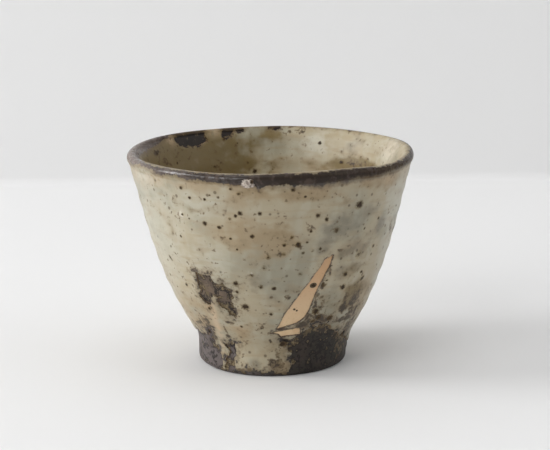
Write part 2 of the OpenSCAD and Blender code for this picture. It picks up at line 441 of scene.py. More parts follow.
# %% Outlines on the unrolled wall
# Turn from the front in degrees, to the right as seen by the camera, and height above the table in mm.
gap_blade = [
    (29.5, 41.5), (25, 40.5), (23.5, 38), (20, 34.5), (13.5, 28.5), (7.5, 23), (2, 17), (8, 18), (14, 19),
    (18.5, 21), (20.5, 23.5), (22.5, 28.5), (25, 33), (28, 37.5),
]
gap_sliver = [
    (-1.5, 15.5), (3, 15), (4.5, 14), (10.5, 14.5), (17.5, 14.5), (16.5, 17), (9.5, 16.5), (2.5, 16),
]
left_patch = [
    (-39, 35), (-30.5, 35), (-28, 33), (-22.5, 32), (-20.5, 30), (-20.5, 26.5), (-22, 24.5), (-21, 21.5),
    (-25.5, 22), (-29, 24.5), (-30, 27.5), (-33, 28), (-36, 25.5), (-40, 25), (-41.5, 27), (-40, 31.5),
]
left_foot = [
    (-118, -2), (-117, 8), (-100, 10), (-76, 11.5), (-60, 12), (-52, 12.5), (-48.5, 15), (-45.5, 15),
    (-48, 11), (-47.5, 9), (-42.5, 8.5), (-41.5, 6), (-40.5, 3), (-40.5, -2),
]
foot_stripe = [
    (-36.5, 10.5), (-32, 11.5), (-26.5, 11), (-29, 8.5), (-31, 5.5), (-31, -2), (-37.5, -2), (-37, 4),
]
right_foot = [
    (14, -2), (13.5, 6.5), (9, 10), (5.5, 12.5), (12, 12.5), (18, 14), (21, 16), (24.5, 18), (29, 17),
    (34, 17.5), (42, 14.5), (50, 12.5), (55, 11.5), (62, 9.5), (72, 8), (84, 6.5), (94, 4), (96, -2),
]
back_foot_left = [(200, -2), (202, 7), (209, 12.5), (222, 10.5), (228, 13), (233, 9), (234, -2)]
back_foot_right = [(110, -2), (111, 9), (115, 13), (122, 11), (131, 12.5), (138, 8), (140, -2)]
lip_blots = [
    [(-149.5, 73), (-148.5, 66), (-144.5, 65), (-138.5, 65), (-132.5, 65.5), (-129.5, 67), (-131, 73)],
    [(-168, 73), (-167.5, 68.5), (-162, 68), (-161, 67), (-157, 67), (-156, 73)],
    [(175.5, 73), (176, 68.5), (181, 68.5), (182, 73)],
]
gaps = [gap_blade, gap_sliver]
bare_places = [left_patch, left_foot, foot_stripe, right_foot, back_foot_left, back_foot_right]
print(len(gaps), "gaps,", len(bare_places), "bare places outside and", len(lip_blots), "inside the lip")

# %% Ragged edges
chance = np.random.default_rng(11)
usual_r_mm, edge_step_mm = 30, 0.6
mm_per_degree = math.radians(usual_r_mm)


def ragged(outline, sway):
    """The outline with a point about every edge_step_mm, each pushed to and fro by about sway mm."""
    corners = np.array(outline + outline[:1], float)
    points = []
    for a, b in zip(corners, corners[1:]):
        long = np.hypot((b[0] - a[0]) * mm_per_degree, b[1] - a[1])
        count = max(1, round(long / edge_step_mm))
        points += [a + (b - a) * i / count for i in range(count)]
    push = chance.normal(0, sway, (len(points), 2))
    for _ in range(2):
        push = (np.roll(push, 1, axis=0) + 2 * push + np.roll(push, -1, axis=0)) / 3
    return np.array(points) + push / [mm_per_degree, 1]


gaps = [ragged(outline, 0.05) for outline in gaps]
bare_places = [ragged(outline, 0.5) for outline in bare_places]
lip_blots = [ragged(outline, 0.2) for outline in lip_blots]
print("the ragged outlines have", sum(map(len, gaps + bare_places + lip_blots)), "points")

# %% [markdown]
# ## Cutting the coats open
# A missing piece of glaze could be a mask in its material, but a real edge catches the light and throws a
# small shadow. So each outline becomes a cutter, and a Boolean takes it out of the coat. A cutter starts
# near the axis and widens outwards like a slice of cake, so that its sides run straight through the wall.
# All the cutters of one kind are joined, because one cut is quicker than many.

# %% Cutters that reach through the wall
def wall_cutters(name, outlines, near=4 * mm, far=80 * mm):
    """Each outline as a flat face near the axis, widened out past the wall, all in one object."""
    bpy.ops.object.select_all(action="DESELECT")
    made = []
    for outline in outlines:
        bpy.ops.mesh.primitive_circle_add(vertices=len(outline), fill_type="NGON")
        cutter = bpy.context.object
        middle = math.radians((outline[:, 0].min() + outline[:, 0].max()) / 2)
        for vertex, (turn, height) in zip(cutter.data.vertices, outline):
            angle = math.radians(turn)
            reach = near / math.cos(angle - middle)
            vertex.co = (reach * math.sin(angle), -reach * math.cos(angle), height * mm)
        bpy.ops.object.mode_set(mode="EDIT")
        bpy.ops.mesh.select_all(action="SELECT")
        bpy.ops.mesh.extrude_region_move()
        bpy.ops.transform.resize(value=(far / near, far / near, 1), center_override=(0, 0, 0))
        face_outwards()
        made.append(cutter)
    for cutter in made:
        cutter.select_set(True)
    bpy.ops.object.join()
    bpy.context.object.name = name
    print(name, "joined from", len(made), "outlines")
    return bpy.context.object


def cut_open(piece, cutter):
    bpy.ops.object.select_all(action="DESELECT")
    bpy.context.view_layer.objects.active = piece
    crawl = piece.modifiers.new("crawl", "BOOLEAN")
    crawl.operation = "DIFFERENCE"
    crawl.solver = "MANIFOLD"
    crawl.object = cutter
    bpy.ops.object.modifier_apply(modifier=crawl.name)
    print(piece.name, "cut open:", len(piece.data.polygons), "faces")


bare_cutter = wall_cutters("bare_cutter", bare_places)
gap_cutter = wall_cutters("gap_cutter", gaps)
lip_cutter = wall_cutters("lip_cutter", lip_blots)

# %% [markdown]
# ## The coats of slip and glaze
# A coat is a thin closed shell between two depths over the clay line. Its face is fine and its hidden
# back is coarse. The glaze thins towards the lip, where the fire pulls it off the edge, and ends in a
# thin roll on the foot. Solidify could thicken one surface evenly, but a section of its own lets each
# coat change its depth along the wall.

# %% Coats
back_step = 6


def coat(name, first, last, low, high):
    """A shell over rows first to last of the clay line. A depth is one number, or one for each row."""
    rows = np.arange(first, last + 1)
    back = np.append(rows[:-1:back_step], rows[-1])[::-1]
    low, high = (np.broadcast_to(depth, len(rows))[:, None] for depth in (low, high))
    face_line = skin[rows] + high * skin_out[rows]
    back_line = skin[back] + low[back - first] * skin_out[back]
    return lathe(name, np.vstack([face_line, back_line]))


def ease(value):
    value = np.clip(value, 0, 1)
    return value * value * (3 - 2 * value)


# Rows over which the glaze thins towards the lip outside, towards the lip inside and towards the foot,
# and the row at which the glaze on the foot would be as thin as the band.
lip_thinning, inner_thinning, foot_thinning, foot_start = 14, 10, 7, -2
outer_rows = np.arange(at_foot, at_band + 1)
near_foot = ease((outer_rows - foot_start) / foot_thinning)
outer_depth = band_t + (coat_t - band_t) * ease((at_band - outer_rows) / lip_thinning) * near_foot
inner_rows_all = np.arange(at_inside, at_well + 1)
inner_depth = band_t + (coat_t - band_t) * ease((inner_rows_all - at_inside) / inner_thinning)

outer_slip = coat("outer_slip_coat", at_foot, at_band, 0, slip_t)
inner_slip = coat("inner_slip_coat", at_inside, at_well, 0, slip_t)
outer_glaze = coat("outer_glaze_coat", at_foot, at_band, slip_t, outer_depth)
inner_glaze = coat("inner_glaze_coat", at_inside, at_well, slip_t, inner_depth)
lip_band = coat("lip_band_glaze", at_band, at_inside, 0, band_t)

# %% Cut the coats
for piece, cutter in [(outer_slip, bare_cutter), (outer_glaze, bare_cutter), (outer_glaze, gap_cutter),
                      (inner_slip, lip_cutter), (inner_glaze, lip_cutter)]:
    cut_open(piece, cutter)
for cutter in (bare_cutter, gap_cutter, lip_cutter):
    bpy.data.objects.remove(cutter)

# %% [markdown]
# ## Iron spots
# Grains of iron in the clay melt in the fire and bleed up through the glaze as low brown blisters. One
# blister is a sphere flattened to a lens. It is copied to each place and bent on to the wall, and each of
# its points remembers how close it is to the middle, so that its colour can fade out into the glaze. The
# spots could be dots in the glaze's material, but a blister with a little height catches the light.

# %% Places of the spots
# Turn from the front, height, width in mm and strength.
outside_spots = [
    (39, 57.5, 2.6, 1), (-14.5, 25.5, 2.2, 1), (24.5, 23, 2.2, 1), (44.5, 40.5, 2.2, 0.5),
    (29, 50, 1.9, 0.7), (39, 30, 1.9, 1), (6, 11.5, 1.9, 1), (-17.5, 33.5, 1.6, 0.9),
    (52.5, 31.5, 1.6, 0.8), (35.5, 19.5, 1.6, 0.8), (11.5, 46.5, 1.5, 1), (-28.5, 53, 1.4, 1),
    (-12.5, 57, 1.4, 1), (1, 32, 1.4, 1), (38.5, 34.5, 1.4, 0.9), (27, 32, 1.4, 0.6),
    (19.5, 55.5, 1.3, 1), (-1.5, 42.5, 1.3, 0.7), (-5.5, 32.5, 1.3, 0.8), (-1, 23, 1.3, 0.9),
    (-3.5, 39, 1.3, 0.5), (-9.5, 36.5, 1.3, 0.6), (13.5, 36.5, 1.3, 0.5), (27, 20.5, 1.3, 0.8),
    (23.5, 19.5, 1.3, 0.8), (-22, 52, 1.2, 1), (-4.5, 57, 1.2, 1), (-8, 49.5, 1.2, 1),
    (-56.5, 39, 1.2, 0.8), (8.5, 64.5, 1.2, 1), (23.5, 54, 1.2, 1), (55, 42, 1.2, 0.8),
    (-49, 30.5, 1.1, 1), (-17.5, 30.5, 1.1, 0.9), (50, 34, 1.1, 0.9), (5.5, 43.5, 1.1, 0.7),
    (-37.5, 64, 1, 1), (-34, 61, 1, 1), (-14.5, 56, 1, 1), (-12.5, 63.5, 1, 0.6), (-17, 55, 1, 0.6),
    (5.5, 46.5, 1, 1), (22, 44.5, 1, 0.9), (14, 43.5, 1, 0.7), (9, 49, 1, 0.6), (53.5, 51.5, 1, 0.9),
    (-64, 32, 1, 0.7), (-37.5, 23.5, 1, 0.9), (-19.5, 18, 1, 0.8), (27.5, 33.5, 1, 0.6),
    (18.5, 44, 1, 0.5), (-27, 61, 0.9, 1), (17, 50.5, 0.9, 1), (-39.5, 55, 0.8, 1), (-43, 47.5, 0.8, 0.9),
    (-17.5, 48.5, 0.8, 1), (15.5, 47, 0.8, 0.9), (13.5, 62, 0.8, 1), (-15.5, 65, 0.8, 0.8),
    (-21, 62, 0.8, 0.7), (45, 49, 0.8, 0.8), (-36, 54, 0.7, 0.7), (-15, 45, 0.7, 0.9),
    (-24.5, 62.5, 0.6, 0.7), (-59.5, 28.5, 0.6, 0.7), (78, 44.5, 1.5, 1), (104, 29.5, 1.8, 1),
    (127, 51.5, 1.3, 1), (151, 41, 1.6, 1), (176, 27, 1.4, 1), (203, 55, 1.5, 1), (229, 37, 1.9, 1),
    (255, 47, 1.2, 1), (281, 28.5, 1.5, 1),
]


def scattered(count, turns, heights, sizes):
    """Spots by chance, with turn, height and width from the given ranges and a strength of a half to one."""
    ranges = (turns, heights, sizes, (0.5, 1))
    return [tuple(chance.uniform(*limits) for limits in ranges) for _ in range(count)]


outside_spots += scattered(44, (68, 292), (20, 63), (0.6, 1.3))
gap_spots = [(21, 32, 1.6, 1), (12, 24, 0.6, 0.6), (13.5, 23.5, 0.5, 0.6)]
inside_spots = [
    (155.5, 64.5, 1.3, 1), (142, 59, 1.5, 1), (-171.5, 55, 1.6, 1), (-112, 66, 1, 0.9),
    (-113.5, 65, 1, 0.8), (-127, 60.5, 0.8, 1), (-150, 57.5, 1, 0.7), (-157, 66, 1.1, 0.7),
    (-163.5, 64.5, 0.8, 0.6), (-168, 58, 0.8, 0.6), (96, 52, 1.5, 1), (20, 57.5, 1.3, 1),
    (-35, 48.5, 1.6, 1), (68, 62, 1.2, 1),
]
inside_spots += scattered(18, (-110, 120), (14, 62), (0.6, 1.4))
grain_pits = [(-7, 67.5, 0.9, 1), (-8.5, 68, 0.6, 0.8)]
print(len(outside_spots), "spots outside,", len(gap_spots), "in the gap,", len(inside_spots), "inside")

# %% Bending a shape on to the wall
def skin_at(height, rows):
    """Place, normal and way along the clay line at a height in metres, on the given stretch of rows."""
    order = rows[np.argsort(skin[rows, 1])]
    place, normal = (
        np.array([np.interp(height, skin[order, 1], part[order, axis]) for axis in (0, 1)])
        for part in (skin, skin_out)
    )
    return place, normal, np.array([-normal[1], normal[0]])


def bent_on(local, turn, height, depth, rows):
    """Points given across, up and out from a place on the wall, in metres, bent on to the wall there."""
    middle, normal, way = skin_at(height, rows)
    line = middle + local[:, 1:2] * way + (depth + local[:, 2:]) * normal
    angle = math.radians(turn) + local[:, 0] / middle[0]
    return np.column_stack([line[:, 0] * np.sin(angle), -line[:, 0] * np.cos(angle), line[:, 1]])


def mark(piece, name, values):
    """Paints a number on every point of a piece, as an attribute."""
    piece.data.attributes.new(name, "FLOAT", "POINT").data.foreach_set("value", values)

# %% One blister, copied on to the wall
def blisters(name, groups, proud=0.07 * mm, sunk=0.02 * mm, fade_out=1.6):
    """A lens for each spot. A group is its spots, its stretch of rows and the depth of their coat."""
    bpy.ops.object.select_all(action="DESELECT")
    bpy.ops.mesh.primitive_uv_sphere_add(segments=12, ring_count=6, radius=1)
    lens = bpy.context.object
    shape = np.array([vertex.co for vertex in lens.data.vertices])
    made, core = [], []
    for spots, rows, depth in groups:
        for turn, height, size, strength in spots:
            reach = size / 2 * fade_out * mm
            local = shape * [reach, reach * chance.uniform(0.8, 1.1), proud] - [0, 0, sunk]
            spot = lens.copy()
            spot.data = lens.data.copy()
            bpy.context.collection.objects.link(spot)
            spot.data.vertices.foreach_set("co", bent_on(local, turn, height * mm, depth, rows).ravel())
            made.append(spot)
            core.append(strength * (1 - np.hypot(shape[:, 0], shape[:, 1])))
    bpy.data.objects.remove(lens)
    for spot in made:
        spot.select_set(True)
    bpy.context.view_layer.objects.active = made[0]
    bpy.ops.object.join()
    piece = bpy.context.object
    piece.name = piece.data.name = name
    mark(piece, "core", np.concatenate(core))
    face_outwards()
    print(name, "has", len(made), "spots")
    return piece


outer_wall_rows, inner_wall_rows = np.arange(at_foot, at_crest), np.arange(at_inside, at_well)
crumb_h = 0.45 * mm
spots_outside = blisters("iron_blisters_outside", [
    (outside_spots, outer_wall_rows, coat_t), (gap_spots, outer_wall_rows, slip_t),
    (grain_pits, outer_wall_rows, band_t + 0.8 * crumb_h),
])
spots_inside = blisters("iron_blisters_inside", [(inside_spots, inner_wall_rows, coat_t)])

# %% [markdown]
# ## The feldspar grain
# A lump of feldspar in the clay swelled at the lip and burst through the dark band as a white crumb,
# spread flat by the melting glaze. An icosphere with its points pushed in and out by chance has that
# crumbly look once it is smoothed. It is flattened and bent on to the wall as the blisters are. It could
# be sculpted by hand, but points pushed by seeded chance come out the same on every run.

# %% Feldspar grain
grain_low, grain_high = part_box("feldspar_grain")
grain_c = (grain_low + grain_high) / 2
grain_turn = math.degrees(math.atan2(grain_c.x, -grain_c.y))
crumb_w, crumb_tall, crumb_up, crumb_shake = 1.9 * mm, 1.6 * mm, 0.5 * mm, 0.22
bpy.ops.object.select_all(action="DESELECT")
bpy.ops.mesh.primitive_ico_sphere_add(subdivisions=4, radius=1)
grain = bpy.context.object
grain.name = grain.data.name = "feldspar_crumb"
for vertex in grain.data.vertices:
    vertex.co *= 1 + crumb_shake * chance.normal()
crumble = grain.modifiers.new("crumble", "SMOOTH")
crumble.factor, crumble.iterations = 0.5, 3
bpy.ops.object.modifier_apply(modifier=crumble.name)
crumb = np.array([vertex.co for vertex in grain.data.vertices]) * [crumb_w, crumb_tall, crumb_h]
crumb = bent_on(crumb, grain_turn, grain_c.z + crumb_up, band_t, outer_wall_rows)
grain.data.vertices.foreach_set("co", crumb.ravel())
print("grain:", len(grain.data.polygons), "faces")

# %% [markdown]
# ## Painting what the fire did
# A finish has to know where it is: how far from the lip, how close to the edge of a gap, in which cloud
# of colour. These are painted on the points of every piece as attributes, in millimetres where they are
# distances. A distance runs evenly between points, so a fine dark line can be drawn from it even on a
# mesh that is coarser than the line.

# %% Distances to outlines
far_mm, bare_edge_mm, tiny = 6.0, 1.6, 1e-12


def distance_to(turn, height, radius, outlines):
    """Distance in mm along the wall to the nearest outline, below 0 inside it and never above far_mm."""
    nearest = np.full(len(turn), far_mm)
    for outline in outlines:
        middle = (outline[:, 0].min() + outline[:, 0].max()) / 2
        corners = np.column_stack([np.radians(outline[:, 0] - middle), outline[:, 1]])
        angle = np.radians((turn - middle + 180) % 360 - 180)
        close = np.abs(angle) * radius < np.abs(corners[:, 0]).max() * radius + far_mm
        close &= (height > corners[:, 1].min() - far_mm) & (height < corners[:, 1].max() + far_mm)
        x, y, r = angle[close] * radius[close], height[close], radius[close]
        best, within = np.full(len(x), far_mm), np.zeros(len(x), bool)
        for (xa, ya), (xb, yb) in zip(corners, np.roll(corners, -1, axis=0)):
            dx, dy = (xb - xa) * r, yb - ya
            share = np.clip(((x - xa * r) * dx + (y - ya) * dy) / (dx * dx + dy * dy + tiny), 0, 1)
            best = np.minimum(best, np.hypot(x - xa * r - share * dx, y - ya - share * dy))
            if ya != yb:
                within ^= ((ya > y) != (yb > y)) & (x < xa * r + (y - ya) / dy * dx)
        nearest[close] = np.minimum(nearest[close], np.where(within, -best, best))
    return nearest

# %% [markdown]
# ## Clouds of colour
# Ash lands thickly on one side of a cup and thinly on another, so the glaze drifts from milk to grey,
# olive and brown. One large noise could scatter these colours, but then they would fall anywhere. Soft
# clouds with a place, a reach and a strength put each colour where it belongs, and noise in the materials
# breaks up their edges. The back isn't known, so its clouds are placed by chance. Some clouds are
# painted light and shade. Outside, milky and white clouds paint the sheen and glints on the lit upper
# left and the reflection along the right edge. Inside, they paint the light on the right of the wall, and
# olive and brown clouds paint the shade on its left and low down, over the glaze's own tones.

# %% Clouds of colour outside
# Turn, height, reach sideways in degrees, reach upwards in mm, and strength.
outside_clouds = {
    # Painted light among the milky clouds: the large one at the upper left is a painted sheen of the window
    # light, and the two at the right edge are a painted reflection there. The rest are milky glaze.
    "milk_and_light": [
        (-60, 48, 26, 26, 0.8), (-28, 60, 14, 6, 0.7), (-25, 41, 11, 6, 0.6), (-18, 6, 7, 4, 0.5),
        (38, 61, 8, 3, 0.4), (62, 58, 9, 7, 0.8), (72, 48, 12, 20, 1),
    ],
    # Painted highlights: the wide white cloud at the upper left, and two small white glints.
    "white": [(-60, 65, 14, 3, 0.3), (-40, 55, 1, 1, 1), (-9.5, 37, 1, 0.5, 0.8)],
    "tan": [
        (-60, 18, 14, 8, 0.8), (-44, 18, 9, 8, 0.6), (-20, 14, 12, 5, 0.5), (-12, 51, 16, 4.5, 0.8),
        (-8, 61, 14, 2.5, 0.4), (-4, 44.5, 16, 3, 0.5), (2, 63.5, 12, 2, 0.6), (4, 49, 10, 4, 0.6),
        (8, 4, 5, 4, 0.5), (14, 62, 14, 2.5, 0.5), (30, 63, 12, 2.5, 0.3), (36, 44, 10, 3, 0.5),
        (47, 41, 7, 4, 0.6), (50, 64, 14, 3.5, 0.9), (58, 24, 10, 8, 0.9),
    ],
    "grey": [
        (-13, 4.5, 6, 3, 0.7), (0, 34, 14, 7, 0.5), (22, 45, 9, 5, 0.5), (31, 51.5, 11, 5, 0.9),
        (34, 33, 5, 7, 0.4), (45, 41, 10, 6, 0.6), (47, 56, 8, 4, 0.5), (54, 22, 9, 8, 0.4),
        (57, 49, 5, 6, 0.6),
    ],
    "olive_and_shade": [
        (-35, 57, 3, 3, 0.5), (-16, 16, 8, 4, 0.2), (2, 64.5, 12, 2, 0.6), (3, 51, 8, 3, 0.4),
        (4, 9, 10, 6, 0.2), (20, 62, 30, 2, 0.2), (30, 24, 7, 4, 0.5), (41, 37, 6, 4, 0.3),
        (48, 26, 8, 6, 1), (49, 63, 10, 3, 0.4),
    ],
    "brown": [
        (-57, 16, 12, 3, 0.6), (-49, 20, 4, 3, 0.5), (-46, 11.5, 8, 1, 0.7), (-45, 14, 2, 2, 1),
        (-44, 18, 1.5, 2, 1), (-43, 54, 3, 2, 0.4), (-31.5, 16, 1, 1.5, 0.9), (-31, 13.5, 3, 1, 1),
        (-27, 19, 4, 0.5, 1.1), (-21.5, 22, 1, 1.5, 1.2), (-25, 1.5, 6, 1, 0.7), (-17, 2.5, 3, 1, 0.7),
        (-16, 55.5, 3, 1.5, 0.4), (-9, 52, 2.5, 1.5, 0.4), (-8, 17.5, 3, 1.5, 0.7),
        (-2.5, 15.5, 1.5, 1, 1), (-2.5, 23, 2, 1, 0.5), (-2, 12.5, 1, 1, 1.1), (1, 4, 6, 2.5, 0.8),
        (9, 3, 4, 2, 0.4), (5, 46.5, 2.5, 1, 0.5), (5.5, 43.5, 2, 1, 0.5), (8, 28.5, 3, 1, 0.6),
        (9, 17, 8, 0.5, 1.2), (9, 49, 2, 1, 0.5), (9, 11, 5, 2, 0.6), (11.5, 46.5, 3.5, 1.5, 0.6),
        (15, 18, 3, 1, 1.3), (17, 51, 2.5, 1, 0.6), (19, 18.5, 2.5, 1.5, 1.2), (20, 22, 2.5, 2.5, 0.8),
        (23.5, 26, 1, 2.5, 1), (26, 20, 5, 2.5, 1), (26, 31, 1, 3, 0.9), (28, 25, 4, 3, 0.5),
        (28.5, 36, 1, 3, 0.9), (33, 19.5, 6, 2, 0.9), (33, 43, 1.5, 0.5, 1), (36, 44, 1.5, 0.5, 0.8),
        (43, 25.5, 4, 3.5, 0.7), (43.5, 22, 3, 1.5, 0.9), (46, 18, 6, 1, 1), (50, 23.5, 3.5, 2, 0.8),
        (51, 26.5, 3, 3.5, 0.8), (53, 19, 4, 1.5, 1), (57, 21, 7, 6, 0.4), (58, 15, 8, 4, 0.6),
        (62, 11, 6, 3, 0.5),
    ],
    "peach": [
        (-39.5, 10, 2, 3, 0.4), (-37, 16, 3, 4, 0.7), (-36, 22.5, 2.5, 3, 0.9), (-20, 16.5, 5, 2, 0.3),
        (55, 64, 4, 2, 0.4),
    ],
}
back_clouds = {"milk_and_light": (8, 0.6), "tan": (12, 0.8), "grey": (12, 0.8), "olive_and_shade": (8, 0.6), "brown": (14, 0.7)}
for name, (count, strength) in back_clouds.items():
    for _ in range(count):
        turn, height = chance.uniform(75, 285), chance.uniform(14, 62)
        wide, tall = chance.uniform(4, 16), chance.uniform(2, 7)
        outside_clouds[name].append((turn, height, wide, tall, strength * chance.uniform(0.3, 1)))
print(sum(map(len, outside_clouds.values())), "clouds outside")

# %% Clouds inside and on the clay
inside_clouds = {
    # Partly painted light: these milky clouds and the white ones below paint the window light on the right
    # of the wall, over a milky patch of glaze.
    "milk_and_light": [(111, 66, 10, 6, 1), (133, 66, 10, 4, 0.4), (157, 64.5, 9, 5, 0.8), (173, 60, 9, 8, 0.4)],
    "white": [(107, 66, 7, 5, 0.4), (157, 64.5, 8, 4.5, 0.2)],
    "tan": [(98, 65, 9, 6, 0.3), (140, 57, 16, 3, 0.6), (165, 57, 16, 4, 0.2), (172, 62, 14, 8, 0.2)],
    "grey": [(98, 65, 9, 5, 0.5), (139, 65, 7, 4, 0.3)],
    # Partly painted shade: these clouds darken the left of the wall, which lies in shade, and the strong one
    # at 131 paints the shade low on the right. The glaze under them has a real yellow-green tone.
    "olive_and_shade": [
        (-166, 60, 14, 12, 0.2), (-144, 58, 18, 9, 0.7), (-118, 62, 22, 8, 0.8), (-113, 68, 12, 3, 0.8),
        (-110, 52, 60, 22, 1), (131, 58.5, 14, 2.5, 2), (150, 56, 9, 3, 0.3), (180, 67.5, 8, 2.5, 0.4),
    ],
    # Partly painted shade: the wide cloud at -112 darkens the shaded left wall further. The small ones are
    # iron stains.
    "brown": [
        (-152, 57, 4, 2, 0.5), (-113, 65.5, 2.5, 1, 0.7), (-112, 62, 20, 7, 0.4),
        (130, 59.5, 12, 1.5, 0.6), (165, 68, 1.5, 1.5, 0.8), (171, 68, 3, 1.5, 0.8),
    ],
    "peach": [(-153, 69, 3, 1.5, 0.6), (-127, 68.5, 3, 2, 0.6), (106, 65.5, 9, 3, 0.3)],
}
soot_clouds = [
    (-60, 4, 14, 5, 0.4), (-40, 29, 2, 4, 0.6), (-38, 5, 1, 5, 1), (-37, 26, 3, 1, 0.8),
    (-34.5, 35, 5, 1, 1), (-33, 10.5, 5, 1, 1), (-31, 32.5, 1.5, 2.5, 0.6), (-29.5, 5, 1, 5, 1),
    (-25, 31, 3, 1.5, 1), (-24, 28, 4, 4, 0.3), (-24, 25, 2.5, 2, 1.2), (-23, 22, 2.5, 1, 1),
    (34, 7, 18, 8, 0.5),
]
wash_clouds = [
    (-40, 8, 2, 5, 0.5), (-36, 30, 3, 3, 0.5), (-25.5, 27.5, 3, 3, 0.5), (24, 17, 4, 1.5, 0.3),
    (30, 16, 16, 2.5, 0.6), (62, 9, 9, 5, 0.9),
]


def clouded(turn, height, clouds):
    total = np.zeros(len(turn))
    for middle, level, wide, tall, strength in clouds:
        aside = (turn - middle + 180) % 360 - 180
        total += strength * np.exp(-(aside / wide) ** 2 - ((height - level) / tall) ** 2)
    return np.clip(total, 0, 1)


print(sum(map(len, inside_clouds.values())), "clouds inside")
print(len(soot_clouds), "clouds of soot and", len(wash_clouds), "of slip wash on the clay")

# %% [markdown]
# ## How far the stain of the lip reaches
# Glaze runs off an edge and leaves it thin, and the iron of the clay stains it dark there. The stain ends
# in a wavy line with drips under it. It is deepest in front, and on the left it runs over to the inside.
# A ring of one width could be painted in less code, but it would look like a stripe. So the stain is
# painted as a depth in mm that changes round the cup, and the material draws its edge as crisp or as soft
# as it needs.

# %% Reach of the stained lip
# Turn, half width in degrees and drop in mm of the drips under the band.
lip_drips = [
    (-150, 3, 0.9), (-32, 2, 0.5), (-19, 1.5, 0.5), (-4, 2, 1.3), (9, 1, 0.8), (20, 14, 1),
    (20, 1.5, 0.7), (31, 1, 0.5), (120, 3, 0.8),
]
# Turn where the lower edge starts to change, run of the change, below 0 to the left, and drop in mm.
lip_steps = [(0, -40, -1.5), (-45, -15, -1.2), (-60, -15, 1), (38, 40, -1.3)]
# Turn, half width in degrees and mm by which the stain goes further over the crest of the lip.
lip_overruns = [(-98, 28, 3.8), (92, 24, 0.4)]
front_down_mm, front_over_mm, back_over_mm = 4.3, -0.5, 0.7


def lip_depth(turn, over_lip):
    """Depth in mm inside the stained band, which goes down the outside and in places over to the inside."""
    down = np.full(len(turn), front_down_mm)
    for start, run, drop in lip_steps:
        down += drop * ease((turn - start) / run)
    for middle, wide, drop in lip_drips:
        down += drop * np.exp(-((turn - middle) / wide) ** 2)
    over = front_over_mm + back_over_mm * ease((np.abs(turn) - 90) / 60)
    for middle, wide, reach in lip_overruns:
        over += reach * np.exp(-((turn - middle) / wide) ** 4)
    return np.minimum(over_lip + down, over - over_lip)


sides = np.array([-60, 0, 60])
print("3 mm under the crest the stain is", np.round(lip_depth(sides, np.full(3, -3.0)), 1), "mm deep")

# %% Paint every piece
# The blots inside the lip are small, so their distances are stretched to draw their edges sharper.
# The nearest row of each point is looked up in chunks, which saves memory.
blot_stretch, inside_soot, chunks = 2.5, 2, 40


def points_of(piece):
    points = np.empty(len(piece.data.vertices) * 3)
    piece.data.vertices.foreach_get("co", points)
    return points.reshape(-1, 3)


def paint(piece):
    """Paints all attributes on a piece. Hands back each point's row and its distance to a cut edge in mm."""
    x, y, z = points_of(piece).T
    turn, radius, height = np.degrees(np.arctan2(x, -y)), np.hypot(x, y), z / mm
    row = np.concatenate([
        np.argmin((skin[:, 0, None] - r) ** 2 + (skin[:, 1, None] - h) ** 2, axis=0)
        for r, h in zip(np.array_split(radius, chunks), np.array_split(z, chunks))
    ])
    over_lip = (skin_run[row] - skin_run[at_crest]) / mm
    outside = over_lip < 0
    place = turn, height, np.maximum(radius / mm, 1)
    bare_outside = np.minimum(distance_to(*place, bare_places), height - bare_edge_mm)
    under_foot = radius < joint_r + ledge_w
    bare_outside[under_foot] = -far_mm
    painting = {
        "over_lip": over_lip,
        "lip_mm": lip_depth(turn, over_lip),
        "bare_mm": np.where(outside, bare_outside, blot_stretch * distance_to(*place, lip_blots)),
        "gap_mm": np.where(outside, distance_to(*place, gaps), far_mm),
        "soot": np.where(outside, clouded(turn, height, soot_clouds), inside_soot),
        "wash": np.where(outside, clouded(turn, height, wash_clouds), 0),
    }
    for name in outside_clouds:
        both = (clouded(turn, height, clouds[name]) for clouds in (outside_clouds, inside_clouds))
        painting[name] = np.where(outside, *both)
    for name, values in painting.items():
        mark(piece, name, values.astype(np.float32))
    return row, np.minimum(painting["bare_mm"], painting["gap_mm"])

# %% Roll the cut edges over
least_r = 1e-9


def roll_edges(piece, row, edge_mm, low, reach_mm=0.9, share=0.65):
    """Sinks the face of a coat towards its edges, so that it ends in a soft roll and not in a step."""
    points = points_of(piece)
    radius = np.hypot(points[:, 0], points[:, 1])
    depth = ((np.column_stack([radius, points[:, 2]]) - skin[row]) * skin_out[row]).sum(axis=1)
    sink = np.clip(depth - low, 0, None) * share * (1 - np.clip(edge_mm / reach_mm, 0, 1)) ** 2
    moved = np.column_stack([radius, points[:, 2]]) - sink[:, None] * skin_out[row]
    points[:, :2] *= (moved[:, 0] / np.maximum(radius, least_r))[:, None]
    points[:, 2] = moved[:, 1]
    piece.data.vertices.foreach_set("co", points.ravel())


coats = [outer_slip, inner_slip, outer_glaze, inner_glaze, lip_band]
pieces = [bowl, ring, *coats, spots_outside, spots_inside, grain]
for piece in pieces:
    row, edge_mm = paint(piece)
    if piece in (outer_glaze, inner_glaze):
        roll_edges(piece, row, edge_mm, slip_t)
    print(piece.name, "painted:", len(piece.data.vertices), "points")

# %% [markdown]
# ## The hand of the thrower
# No thrown cup is round. Fingers leave a shallow spiral, the wall leans a little, and the lip rises and
# dips. The same small push is given to every piece, after cutting and painting, so that all the layers
# still fit together. A Displace modifier on each piece could do this too, but one function for all of
# them can't pull the layers apart.

# %% Make it uneven
finger_deep, finger_apart, dent_deep = 0.10 * mm, 6.4 * mm, 0.14 * mm
wear_deep, wear_h, wear_turn, wear_wide = 0.9 * mm, 2.5 * mm, -1.2, 0.6
lean, lean_at, lean_reach, foot_back, foot_reach = 0.3 * mm, 15 * mm, 9 * mm, 0.25 * mm, 10 * mm
# Turn and half width in radians, and depth, of the dips in the lip.
lip_dips = [(0, 1.15, 0.5 * mm), (1.15, 0.45, 0.9 * mm)]


